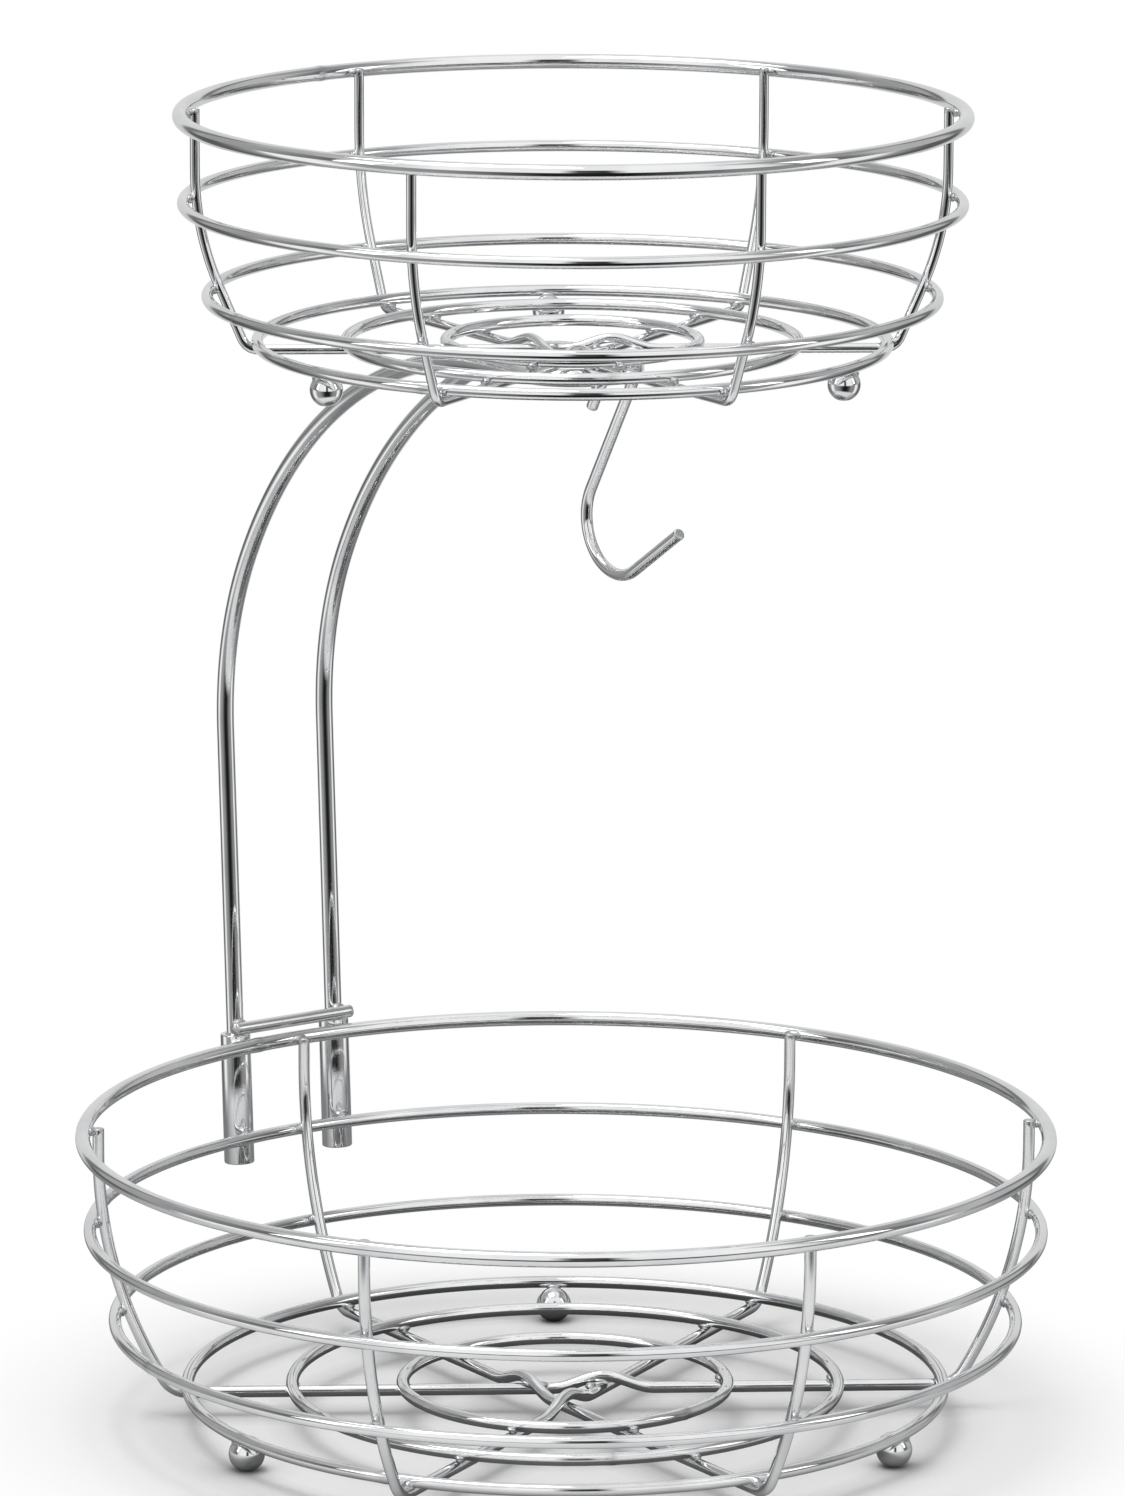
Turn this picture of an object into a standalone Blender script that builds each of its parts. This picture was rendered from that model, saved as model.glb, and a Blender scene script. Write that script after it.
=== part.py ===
"""Two-tier wire fruit bowl with a bent rod stand and a hook under the upper bowl.

Run it with: blender --background --python part.py
Metres, +Z up. The front is -Y and the stand is at the back, +Y. Each bowl is three
U-shaped rib wires that cross under its floor, with rings seated on them. The lower bowl
carries two sleeves, the bent rod stands in them, and the upper bowl rests on its arms.
Angles round a bowl are counted from the front, positive towards +X.
"""

import math
from types import SimpleNamespace

import bmesh
import bpy
from mathutils import Matrix, Vector

MM = 0.001

# Clearance left at every seat, so that neighbouring solids never touch
GAP = 0.3 * MM

# Lower bowl: rim size, ring heights above the table, and wire sizes
LOWER_RIM_DIAMETER = 300 * MM
LOWER_RIM_HEIGHT = 90.5 * MM
LOWER_MIDDLE_HEIGHT = 61.2 * MM
LOWER_LOW_HEIGHT = 32.7 * MM
LOWER_INNER_DIAMETER = 168 * MM
LOWER_CENTRE_DIAMETER = 100 * MM
LOWER_RIM_WIRE = 4.6 * MM
LOWER_RING_WIRE = 3.8 * MM
LOWER_RIB_WIRE = 3.6 * MM
LOWER_SIDE_RADIUS = 140 * MM
LOWER_UPRIGHT_HEIGHT = 83 * MM
LOWER_FLANK_ANGLE = math.radians(60)
LOWER_FOOT_BEND = 8.6 * MM
LOWER_RIB_OFFSET = 7 * MM
LOWER_WEAVE_RUN = 16 * MM
LOWER_FOOT_DIAMETER = 11 * MM
LOWER_FOOT_ANGLES = [math.radians(a) for a in (146.2, -94.9, 27.3)]

# Upper bowl: the same sizes, its heights counted from under its own feet
UPPER_RIM_DIAMETER = 239.6 * MM
UPPER_RIM_HEIGHT = 78.8 * MM
UPPER_MIDDLE_HEIGHT = 52.5 * MM
UPPER_LOW_HEIGHT = 24.3 * MM
UPPER_INNER_DIAMETER = 136 * MM
UPPER_CENTRE_DIAMETER = 76 * MM
UPPER_RIM_WIRE = 4.6 * MM
UPPER_RING_WIRE = 3.6 * MM
UPPER_RIB_WIRE = 3.0 * MM
UPPER_SIDE_RADIUS = 90 * MM
UPPER_UPRIGHT_HEIGHT = 61.1 * MM
UPPER_FLANK_ANGLE = math.radians(67)
UPPER_FOOT_BEND = 5 * MM
UPPER_RIB_OFFSET = 7 * MM
UPPER_WEAVE_RUN = 14 * MM
UPPER_FOOT_DIAMETER = 10 * MM
UPPER_FOOT_ANGLES = [math.radians(a) for a in (149, -88.8, 26.8)]
UPPER_FORWARD = 2 * MM

# Both bowls: how far a rib's end stands over the rim's centre, and how a foot is set
RIB_OVER_RIM = 1 * MM
FOOT_FLAT = 0.4 * MM
FOOT_TUCK = math.radians(35)
RIB_END_ANGLES = [math.radians(a) for a in (180, -60, 60)]

# Stand: one rod bent into two posts, two arms and a round end between the arms
ROD_DIAMETER = 5.5 * MM
ROD_SPACING = 37.7 * MM
ARM_HEIGHT = 328 * MM
ARM_FRONT = 21 * MM
POST_LEAN = math.radians(2.8)
UPPER_BEND = 150 * MM
LOWER_BEND = 110 * MM
BEND_CHANGE = math.radians(62)
ROD_END_RISE = 1 * MM

# Sleeves on the lower bowl, and the bar that stops the rod on them
SLEEVE_DIAMETER = 9.6 * MM
SLEEVE_OVER_RIM = 3 * MM
SLEEVE_LENGTH = 42 * MM
SLEEVE_CHAMFER = 0.5 * MM
STOP_WIRE = 4 * MM
STOP_OVERHANG = 3.4 * MM

# Hook: a flat staple welded to the arms' round end, with one leg bent up as the hook
HOOK_WIRE = 3.6 * MM
HOOK_SPACING = 12 * MM
HOOK_CORNER = 3.4 * MM
HOOK_LEAN = math.radians(30.7)
HOOK_LEG = 40.5 * MM
HOOK_STUB = 7.6 * MM
HOOK_RADIUS = 16 * MM
HOOK_TURN = math.radians(153.7)
HOOK_TIP = 27 * MM

# Facets: sides of a wire, and steps along rings and bends
RING_SIDES = 8
RIM_STEPS = 52
MIDDLE_STEPS = 48
LOW_STEPS = 48
BASE_STEPS = 40
INNER_STEPS = 32
CENTRE_STEPS = 24
SLEEVE_STEPS = 16
FOOT_STEPS = 14
FOOT_RINGS = 9
WEAVE_STEPS = 8
FOOT_BEND_STEPS = 5
SIDE_STEPS = 8
ROD_BEND_STEPS = 11
ROD_END_STEPS = 12
CORNER_STEPS = 3
HOOK_STEPS = 12
WIRE_BEVEL_RESOLUTION = 2
SHARP_EDGE_ANGLE = math.radians(30)

CHROME_COLOUR = (0.82, 0.83, 0.84, 1)
CHROME_ROUGHNESS = 0.12


def clear_scene():
    for obj in list(bpy.data.objects):
        bpy.data.objects.remove(obj, do_unlink=True)


def chrome(name):
    """Bright chrome plate."""
    material = bpy.data.materials.new(name)
    material.use_nodes = True
    shader = material.node_tree.nodes["Principled BSDF"]
    shader.inputs["Base Color"].default_value = CHROME_COLOUR
    shader.inputs["Metallic"].default_value = 1
    shader.inputs["Roughness"].default_value = CHROME_ROUGHNESS
    return material


def add_object(name, data, parent, matrix):
    """Links a new object, gives it its own chrome and hangs it on its parent."""
    obj = bpy.data.objects.new(name, data)
    bpy.context.scene.collection.objects.link(obj)
    obj.matrix_world = matrix
    if not data.materials:
        data.materials.append(None)
    obj.material_slots[0].link = "OBJECT"
    obj.material_slots[0].material = chrome(name + "_chrome")
    obj.parent = parent
    obj.matrix_parent_inverse = parent.matrix_world.inverted()
    return obj


def add_empty(name, place):
    empty = bpy.data.objects.new(name, None)
    bpy.context.scene.collection.objects.link(empty)
    empty.location = place
    bpy.context.view_layer.update()
    return empty


def polar(radius, angle, height):
    """A point round a bowl's axis, with the angle counted from the front."""
    return Vector((radius * math.sin(angle), -radius * math.cos(angle), height))


def arc(centre, radius, start, end, steps):
    """Points of a bend in a vertical plane, by the wire's heading from start to end."""
    points = []
    for step in range(steps + 1):
        heading = start + (end - start) * step / steps
        across = centre[0] + radius * math.sin(heading)
        points.append((across, centre[1] - radius * math.cos(heading)))
    return points


def wire_data(name, points, diameter):
    """A round wire with flat cut ends along a list of points."""
    curve = bpy.data.curves.new(name, "CURVE")
    curve.dimensions = "3D"
    curve.bevel_depth = diameter / 2
    curve.bevel_resolution = WIRE_BEVEL_RESOLUTION
    curve.use_fill_caps = True
    spline = curve.splines.new("POLY")
    spline.points.add(len(points) - 1)
    for slot, point in zip(spline.points, points):
        slot.co = (*point, 1)
    spline.use_smooth = True
    return curve


def ring_data(name, radius, wire, steps):
    """A closed ring of round wire: a small circle spun once round the axis."""
    shape = bmesh.new()
    middle = Matrix.Translation((radius, 0, 0)) @ Matrix.Rotation(math.pi / 2, 4, "X")
    circle = bmesh.ops.create_circle(
        shape, segments=RING_SIDES, radius=wire / 2, matrix=middle
    )
    bmesh.ops.spin(
        shape, geom=circle["verts"] + shape.edges[:], angle=2 * math.pi, steps=steps,
        axis=(0, 0, 1), cent=(0, 0, 0), use_merge=True,
    )
    bmesh.ops.recalc_face_normals(shape, faces=shape.faces[:])
    mesh = bpy.data.meshes.new(name)
    shape.to_mesh(mesh)
    shape.free()
    mesh.shade_smooth()
    return mesh


def sleeve_data(name, bore):
    """A chamfered tube turned round its own axis, its top face at height zero."""
    outer = SLEEVE_DIAMETER / 2
    inner = bore / 2 / math.cos(math.pi / SLEEVE_STEPS)
    profile = [
        (inner + SLEEVE_CHAMFER, 0),
        (outer - SLEEVE_CHAMFER, 0),
        (outer, -SLEEVE_CHAMFER),
        (outer, SLEEVE_CHAMFER - SLEEVE_LENGTH),
        (outer - SLEEVE_CHAMFER, -SLEEVE_LENGTH),
        (inner, -SLEEVE_LENGTH),
        (inner, -SLEEVE_CHAMFER),
    ]
    shape = bmesh.new()
    corners = [shape.verts.new((across, 0, height)) for across, height in profile]
    for first, second in zip(corners, corners[1:] + corners[:1]):
        shape.edges.new((first, second))
    bmesh.ops.spin(
        shape, geom=shape.verts[:] + shape.edges[:], angle=2 * math.pi,
        steps=SLEEVE_STEPS, axis=(0, 0, 1), cent=(0, 0, 0), use_merge=True,
    )
    bmesh.ops.recalc_face_normals(shape, faces=shape.faces[:])
    mesh = bpy.data.meshes.new(name)
    shape.to_mesh(mesh)
    shape.free()
    mesh.shade_smooth()
    mesh.set_sharp_from_angle(angle=SHARP_EDGE_ANGLE)
    return mesh


def foot_data(name, diameter):
    """A ball with a small flat under it, its origin at the ball's centre."""
    shape = bmesh.new()
    bmesh.ops.create_uvsphere(
        shape, u_segments=FOOT_STEPS, v_segments=FOOT_RINGS, radius=diameter / 2
    )
    flat = Vector((0, 0, FOOT_FLAT - diameter / 2))
    parts = shape.verts[:] + shape.edges[:] + shape.faces[:]
    bmesh.ops.bisect_plane(
        shape, geom=parts, plane_co=flat, plane_no=(0, 0, -1), clear_outer=True,
        dist=FOOT_FLAT / FOOT_STEPS,
    )
    open_edges = [edge for edge in shape.edges if edge.is_boundary]
    bmesh.ops.holes_fill(shape, edges=open_edges, sides=0)
    bmesh.ops.recalc_face_normals(shape, faces=shape.faces[:])
    mesh = bpy.data.meshes.new(name)
    shape.to_mesh(mesh)
    shape.free()
    mesh.shade_smooth()
    mesh.set_sharp_from_angle(angle=SHARP_EDGE_ANGLE)
    return mesh


def work_out_bowl(bowl):
    """Adds the heights and the rib's outline that follow from a bowl's own sizes."""
    seat = bowl.foot / 2 + bowl.ring_wire / 2 + GAP
    bowl.foot_centre = bowl.foot / 2 - FOOT_FLAT
    bowl.base_height = bowl.foot_centre + seat * math.cos(FOOT_TUCK)
    bowl.on_rib = bowl.ring_wire / 2 + bowl.rib_wire / 2 + GAP
    bowl.floor_height = bowl.base_height - bowl.on_rib
    bowl.rim_seat = bowl.rim_wire / 2 + bowl.rib_wire / 2 + GAP
    bowl.rim_radius = bowl.rim / 2 - bowl.rim_wire / 2
    flats = bowl.rim_radius * math.cos(math.pi / RIM_STEPS)
    bowl.side_reach = math.sqrt(flats**2 - bowl.offset**2) - bowl.rim_seat
    bend_rise = bowl.foot_bend * (1 - math.cos(bowl.flank))
    arc_rise = bowl.side_radius * math.cos(bowl.flank)
    bowl.side_top = max(bowl.floor_height + bend_rise + arc_rise, bowl.upright)
    flank_top = bowl.side_top - arc_rise
    flank_rise = flank_top - bowl.floor_height - bend_rise
    arc_reach = bowl.side_radius * (1 - math.sin(bowl.flank))
    bowl.flank_top = (bowl.side_reach - arc_reach, flank_top)
    bend_reach = bowl.foot_bend * math.sin(bowl.flank)
    bowl.floor_reach = bowl.flank_top[0] - flank_rise / math.tan(bowl.flank) - bend_reach
    bowl.foot_reach = math.hypot(bowl.floor_reach, bowl.offset) - seat * math.sin(FOOT_TUCK)
    return bowl


def ring_radius(bowl, height, seat, steps):
    """Radius of a ring that lies outside the ribs at a height, clear by its flats."""
    centre = (bowl.side_reach - bowl.side_radius, bowl.side_top)
    drop = (bowl.side_top - height) / (bowl.side_radius + seat)
    if drop <= 0:
        reach = bowl.side_reach + seat
    elif drop <= math.cos(bowl.flank):
        reach = centre[0] + (bowl.side_radius + seat) * math.sqrt(1 - drop**2)
    else:
        along = height - bowl.flank_top[1] + seat * math.cos(bowl.flank)
        reach = bowl.flank_top[0] + seat * math.sin(bowl.flank)
        reach += along / math.tan(bowl.flank)
    return math.hypot(reach, bowl.offset) / math.cos(math.pi / steps)


def rib_outline(bowl):
    """The U of one rib wire in its own plane, with one rise where it crosses another."""
    floor = bowl.floor_height
    bend_centre = (bowl.floor_reach, floor + bowl.foot_bend)
    side_centre = (bowl.side_reach - bowl.side_radius, bowl.side_top)
    side = arc(bend_centre, bowl.foot_bend, 0, bowl.flank, FOOT_BEND_STEPS)
    side += arc(side_centre, bowl.side_radius, bowl.flank, math.pi / 2, SIDE_STEPS)
    top = bowl.rim_height + RIB_OVER_RIM
    drop = max(bowl.side_top - top, 0)
    side = [point for point in side if point[1] < top]
    side.append((side_centre[0] + math.sqrt(bowl.side_radius**2 - drop**2), top))
    crossing = bowl.offset * math.tan(math.pi / len(RIB_END_ANGLES))
    rise = bowl.rib_wire + GAP
    weave = []
    for step in range(WEAVE_STEPS + 1):
        share = 2 * step / WEAVE_STEPS - 1
        lift = rise * (1 + math.cos(math.pi * share)) / 2
        weave.append((crossing + bowl.weave_run * share, floor + lift))
    return [(-across, height) for across, height in reversed(side)] + weave + side


def build_ribs(bowl, parent):
    """Three equal U wires, each clear of the bowl's axis by the same offset."""
    outline = [(across, bowl.offset, height) for across, height in rib_outline(bowl)]
    data = wire_data(bowl.name + "_rib", outline, bowl.rib_wire)
    skew = math.asin(bowl.offset / bowl.side_reach)
    for letter, angle in zip("abc", RIB_END_ANGLES):
        turn = Matrix.Rotation(angle - math.pi / 2 - skew, 4, "Z")
        place = Matrix.Translation(bowl.origin) @ turn
        add_object(f"{bowl.name}_rib_{letter}", data, parent, place)


def build_rings(bowl, parent):
    """Rim, middle and low rings outside the ribs, and three rings on the floor run."""
    rim = ring_radius(bowl, bowl.rim_height, bowl.rim_seat, RIM_STEPS)
    middle = ring_radius(bowl, bowl.middle_height, bowl.on_rib, MIDDLE_STEPS)
    low = ring_radius(bowl, bowl.low_height, bowl.on_rib, LOW_STEPS)
    base = math.hypot(bowl.floor_reach, bowl.offset)
    base_height = bowl.base_height
    rings = [
        ("rim", rim, bowl.rim_height, bowl.rim_wire, RIM_STEPS),
        ("middle_ring", middle, bowl.middle_height, bowl.ring_wire, MIDDLE_STEPS),
        ("low_ring", low, bowl.low_height, bowl.ring_wire, LOW_STEPS),
        ("base_ring", base, base_height, bowl.ring_wire, BASE_STEPS),
        ("inner_ring", bowl.inner / 2, base_height, bowl.ring_wire, INNER_STEPS),
        ("centre_ring", bowl.centre / 2, base_height, bowl.ring_wire, CENTRE_STEPS),
    ]
    for kind, radius, height, wire, steps in rings:
        name = f"{bowl.name}_{kind}"
        place = Matrix.Translation(bowl.origin + Vector((0, 0, height)))
        add_object(name, ring_data(name, radius, wire, steps), parent, place)


def build_feet(bowl, parent):
    """Three balls welded under the base ring, in the wide gaps between the ribs."""
    data = foot_data(bowl.name + "_foot", bowl.foot)
    for letter, angle in zip("abc", bowl.foot_angles):
        place = bowl.origin + polar(bowl.foot_reach, angle, bowl.foot_centre)
        add_object(f"{bowl.name}_foot_{letter}", data, parent, Matrix.Translation(place))


def build_bowl(bowl, parent):
    build_rings(bowl, parent)
    build_ribs(bowl, parent)
    build_feet(bowl, parent)


def work_out_stand(bowl):
    """The rod's outline from its arms back and down, and where its post meets the rim."""
    stand = SimpleNamespace()
    reach = bowl.rim / 2 + GAP + SLEEVE_DIAMETER / 2
    rim_depth = math.sqrt(reach**2 - (ROD_SPACING / 2) ** 2)
    stand.axis = Vector((0, math.sin(POST_LEAN), math.cos(POST_LEAN)))
    stand.ahead = Vector((0, -math.cos(POST_LEAN), math.sin(POST_LEAN)))
    stand.rim_point = Vector((0, rim_depth, bowl.rim_height))
    stand.sleeve_top = stand.rim_point + stand.axis * SLEEVE_OVER_RIM
    upper_centre = (0, ARM_HEIGHT - UPPER_BEND)
    upper = rod_bend(upper_centre, UPPER_BEND, 0, BEND_CHANGE)
    step_back = UPPER_BEND - LOWER_BEND
    lower_centre = (
        step_back * math.sin(BEND_CHANGE),
        upper_centre[1] + step_back * math.cos(BEND_CHANGE),
    )
    lower = rod_bend(lower_centre, LOWER_BEND, BEND_CHANGE, math.pi / 2 + POST_LEAN)
    bends = upper + lower[1:]
    last = bends[-1]
    shift = rim_depth - last[0] + (last[1] - bowl.rim_height) * math.tan(POST_LEAN)
    stand.bends = [(depth + shift, height) for depth, height in bends]
    return stand


def rod_bend(centre, radius, start, end):
    """Points of the arched stretch, by how far the rod has turned from level."""
    points = []
    for step in range(ROD_BEND_STEPS + 1):
        turn = start + (end - start) * step / ROD_BEND_STEPS
        depth = centre[0] + radius * math.sin(turn)
        points.append((depth, centre[1] + radius * math.cos(turn)))
    return points


def build_rod(stand, parent, origin):
    """The whole rod: one side from its foot to the arm, the round end, the other side."""
    half = ROD_SPACING / 2
    foot = stand.sleeve_top - stand.axis * (SLEEVE_LENGTH - ROD_END_RISE)
    side = [(foot.y, foot.z)] + stand.bends[::-1]
    points = [Vector((half, depth, height)) for depth, height in side]
    for step in range(ROD_END_STEPS + 1):
        angle = math.pi * step / ROD_END_STEPS
        across = half * math.cos(angle)
        points.append(Vector((across, half - ARM_FRONT - half * math.sin(angle), ARM_HEIGHT)))
    points += [Vector((-half, depth, height)) for depth, height in side[::-1]]
    data = wire_data("stand_rod", points, ROD_DIAMETER)
    add_object("stand_rod", data, parent, Matrix.Translation(origin))


def build_stop_bar(stand, parent, origin):
    """A short wire across the front of both posts, which lands on the sleeves."""
    half = ROD_SPACING / 2 + STOP_OVERHANG
    data = wire_data("stop_bar", [(-half, 0, 0), (half, 0, 0)], STOP_WIRE)
    ahead = stand.ahead * (ROD_DIAMETER / 2 + STOP_WIRE / 2 + GAP)
    place = origin + stand.sleeve_top + stand.axis * (GAP + STOP_WIRE / 2) + ahead
    add_object("stop_bar", data, parent, Matrix.Translation(place))


def build_sleeves(stand, parent, origin):
    """Two tubes welded to the rim's outside, leaning as the posts do."""
    data = sleeve_data("sleeve", ROD_DIAMETER + 2 * GAP)
    lean = Matrix.Rotation(-POST_LEAN, 4, "X")
    for name, side in (("sleeve_left", -1), ("sleeve_right", 1)):
        across = Vector((side * ROD_SPACING / 2, 0, 0))
        place = Matrix.Translation(origin + stand.sleeve_top + across)
        add_object(name, data, parent, place @ lean)


def build_hook(parent, origin):
    """A staple lying against the arms' round end: a short leg, and a long hooked leg."""
    half = HOOK_SPACING / 2
    up = Vector((0, -math.sin(HOOK_LEAN), math.cos(HOOK_LEAN)))
    front = Vector((0, -math.cos(HOOK_LEAN), -math.sin(HOOK_LEAN)))
    rod_half = ROD_SPACING / 2
    rod_depth = rod_half - ARM_FRONT - math.sqrt(rod_half**2 - half**2)
    seat = ROD_DIAMETER / 2 + HOOK_WIRE / 2 + GAP
    weld = Vector((0, rod_depth, ARM_HEIGHT)) + front * seat
    top_height = ARM_HEIGHT + ROD_DIAMETER / 2 - HOOK_WIRE / 2
    rise = (top_height - weld.z) / math.cos(HOOK_LEAN)
    corner = min(HOOK_CORNER, rise)
    points = [weld - up * HOOK_STUB + Vector((-half, 0, 0))]
    for side, turns in ((-1, range(CORNER_STEPS + 1)), (1, range(CORNER_STEPS, -1, -1))):
        for step in turns:
            angle = math.pi / 2 * step / CORNER_STEPS
            across = side * (half - corner + corner * math.cos(angle))
            lift = rise - corner + corner * math.sin(angle)
            points.append(weld + up * lift + Vector((across, 0, 0)))
    bend_top = weld - up * HOOK_LEG + Vector((half, 0, 0))
    centre = bend_top + front * HOOK_RADIUS
    for step in range(HOOK_STEPS + 1):
        angle = HOOK_TURN * step / HOOK_STEPS
        spoke = -front * math.cos(angle) - up * math.sin(angle)
        points.append(centre + spoke * HOOK_RADIUS)
    heading = front * math.sin(HOOK_TURN) - up * math.cos(HOOK_TURN)
    points.append(points[-1] + heading * HOOK_TIP)
    data = wire_data("banana_hook", points, HOOK_WIRE)
    add_object("banana_hook", data, parent, Matrix.Translation(origin))


def bowl_sizes(name, **sizes):
    return work_out_bowl(SimpleNamespace(name=name, **sizes))


def lower_bowl():
    return bowl_sizes(
        "lower", rim=LOWER_RIM_DIAMETER, rim_height=LOWER_RIM_HEIGHT,
        middle_height=LOWER_MIDDLE_HEIGHT, low_height=LOWER_LOW_HEIGHT,
        inner=LOWER_INNER_DIAMETER, centre=LOWER_CENTRE_DIAMETER,
        rim_wire=LOWER_RIM_WIRE, ring_wire=LOWER_RING_WIRE, rib_wire=LOWER_RIB_WIRE,
        side_radius=LOWER_SIDE_RADIUS, flank=LOWER_FLANK_ANGLE,
        foot_bend=LOWER_FOOT_BEND, offset=LOWER_RIB_OFFSET,
        weave_run=LOWER_WEAVE_RUN, upright=LOWER_UPRIGHT_HEIGHT,
        foot=LOWER_FOOT_DIAMETER, foot_angles=LOWER_FOOT_ANGLES,
    )


def upper_bowl():
    return bowl_sizes(
        "upper", rim=UPPER_RIM_DIAMETER, rim_height=UPPER_RIM_HEIGHT,
        middle_height=UPPER_MIDDLE_HEIGHT, low_height=UPPER_LOW_HEIGHT,
        inner=UPPER_INNER_DIAMETER, centre=UPPER_CENTRE_DIAMETER,
        rim_wire=UPPER_RIM_WIRE, ring_wire=UPPER_RING_WIRE, rib_wire=UPPER_RIB_WIRE,
        side_radius=UPPER_SIDE_RADIUS, flank=UPPER_FLANK_ANGLE,
        foot_bend=UPPER_FOOT_BEND, offset=UPPER_RIB_OFFSET,
        weave_run=UPPER_WEAVE_RUN, upright=UPPER_UPRIGHT_HEIGHT,
        foot=UPPER_FOOT_DIAMETER, foot_angles=UPPER_FOOT_ANGLES,
    )


def main():
    clear_scene()
    lower = lower_bowl()
    upper = upper_bowl()
    stand = work_out_stand(lower)
    back = max(depth for depth, _ in stand.bends) + ROD_DIAMETER / 2
    origin = Vector((0, (LOWER_RIM_DIAMETER / 2 - back) / 2, 0))
    lower.origin = origin
    arm_top = ARM_HEIGHT + ROD_DIAMETER / 2
    lift = arm_top + GAP + upper.rib_wire / 2 - upper.floor_height
    upper.origin = origin + Vector((0, -UPPER_FORWARD, lift))
    lower_parent = add_empty("lower_bowl", lower.origin)
    stand_parent = add_empty("stand", origin + stand.sleeve_top)
    upper_parent = add_empty("upper_bowl", upper.origin)
    build_bowl(lower, lower_parent)
    build_sleeves(stand, lower_parent, origin)
    build_rod(stand, stand_parent, origin)
    build_stop_bar(stand, stand_parent, origin)
    build_hook(stand_parent, origin)
    build_bowl(upper, upper_parent)


main()
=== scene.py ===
# Two-tier wire fruit bowl: chrome looks and studio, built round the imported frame
import bpy
import numpy as np
from mathutils import Matrix, Vector


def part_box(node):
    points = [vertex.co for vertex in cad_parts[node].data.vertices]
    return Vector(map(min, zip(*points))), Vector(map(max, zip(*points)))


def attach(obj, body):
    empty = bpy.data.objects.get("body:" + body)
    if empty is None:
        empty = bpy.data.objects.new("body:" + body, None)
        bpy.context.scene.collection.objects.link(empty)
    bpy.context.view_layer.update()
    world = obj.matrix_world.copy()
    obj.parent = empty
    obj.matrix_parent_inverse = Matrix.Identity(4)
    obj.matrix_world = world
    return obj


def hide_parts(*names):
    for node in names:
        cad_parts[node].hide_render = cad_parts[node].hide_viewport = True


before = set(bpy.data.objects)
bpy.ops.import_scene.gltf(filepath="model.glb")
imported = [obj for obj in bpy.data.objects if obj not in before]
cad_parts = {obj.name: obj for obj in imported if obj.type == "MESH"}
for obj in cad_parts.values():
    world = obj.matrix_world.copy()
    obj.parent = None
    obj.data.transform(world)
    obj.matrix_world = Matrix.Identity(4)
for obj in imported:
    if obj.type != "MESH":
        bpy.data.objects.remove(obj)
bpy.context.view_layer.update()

mm = 0.001
print("frame loaded:", len(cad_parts), "nodes")


# Materials

chromeLook = {
    "tint": (0.86, 0.865, 0.87, 1),     # bright plate
    "tintLow": (0.74, 0.75, 0.765, 1),  # faint cloudy patches
    "tintWornAndShaded": (0.5, 0.505, 0.51, 1),  # cut ends, welds and rubbed places, and painted shade on the stop bar's front
    "wearAndShadeTint": 0.7,                    # how far such a place takes that tint
    "wearAndShadeDull": 0.22,                   # and how much rougher it is
    # Each noise's scale per metre and its detail. The drawing lines are scaled by their UV.
    "patches": (45, 3), "fine": (900, 4), "drawn": (1, 3), "ripple": (260, 2),
    "patchRange": (0.3, 0.6),           # the stretch of the slow noise between the two tints
    "fineRange": (0.35, 0.75),          # the stretch of the finer one between these shares of
    "glossRange": (0.6, 1.7),           # a material's own roughness
    "drawnHeight": 0.02 * mm, "rippleHeight": 0.05 * mm,
}


def link(tree, source, target):
    tree.links.new(source, target)


def addNode(tree, kind, **settings):
    node = tree.nodes.new(kind)
    for key, value in settings.items():
        setattr(node, key, value)
    return node


def noise(tree, vector, scale, detail):
    node = addNode(tree, "ShaderNodeTexNoise")
    node.inputs["Scale"].default_value = scale
    node.inputs["Detail"].default_value = detail
    link(tree, vector, node.inputs["Vector"])
    return node.outputs["Fac"]


def mapRange(tree, value, low, high, toLow, toHigh, curve="LINEAR"):
    node = addNode(tree, "ShaderNodeMapRange", interpolation_type=curve)
    limits = {"From Min": low, "From Max": high, "To Min": toLow, "To Max": toHigh}
    for name, number in limits.items():
        node.inputs[name].default_value = number
    link(tree, value, node.inputs["Value"])
    return node.outputs["Result"]
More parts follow.
